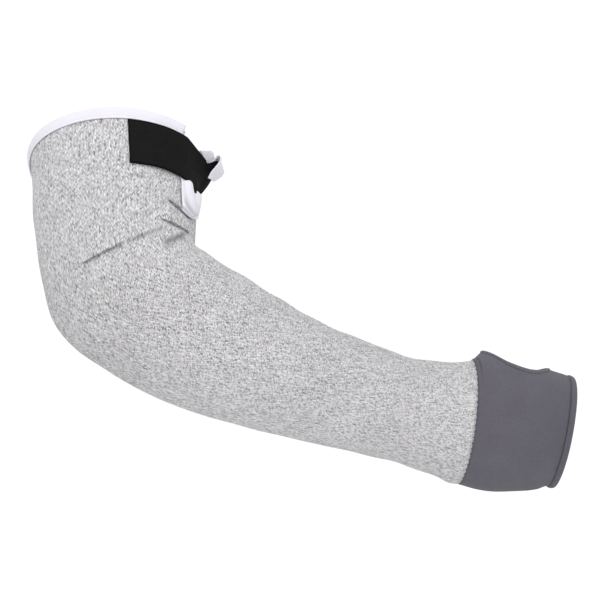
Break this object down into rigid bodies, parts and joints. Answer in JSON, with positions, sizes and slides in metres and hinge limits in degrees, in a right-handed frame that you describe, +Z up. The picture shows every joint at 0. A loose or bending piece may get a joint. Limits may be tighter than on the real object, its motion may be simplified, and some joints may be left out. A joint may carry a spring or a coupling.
{
  "type": "cut resistant sleeve",
  "caption": "Knitted arm sleeve bent at the elbow, with a slit and hook strap at the upper arm and a cuff with a thumb hole.",
  "frame": {"origin": "middle of the opening at the top hem, where the arm goes in", "axes": "+X towards the hand, +Z up, -Y towards the viewer of the picture"},
  "size_m": [0.3652, 0.1305, 0.2503],
  "materials": {
    "knit_yarn": "knitted, mottled light grey",
    "white_elastic": "woven elastic, white",
    "black_tape": "hook and loop tape, black",
    "grey_cloth": "fine knit, dark grey"
  },
  "bodies": {
    "root": {"knit_sleeve": "knit_yarn", "hem_binding": "white_elastic", "slit_binding": "white_elastic", "binding_tail": "white_elastic", "closure_strap": "black_tape", "loop_patch": "black_tape", "wrist_cuff": "grey_cloth", "cuff_end_hem": "grey_cloth", "thumb_hole_hem": "grey_cloth"}
  },
  "joints": []
}
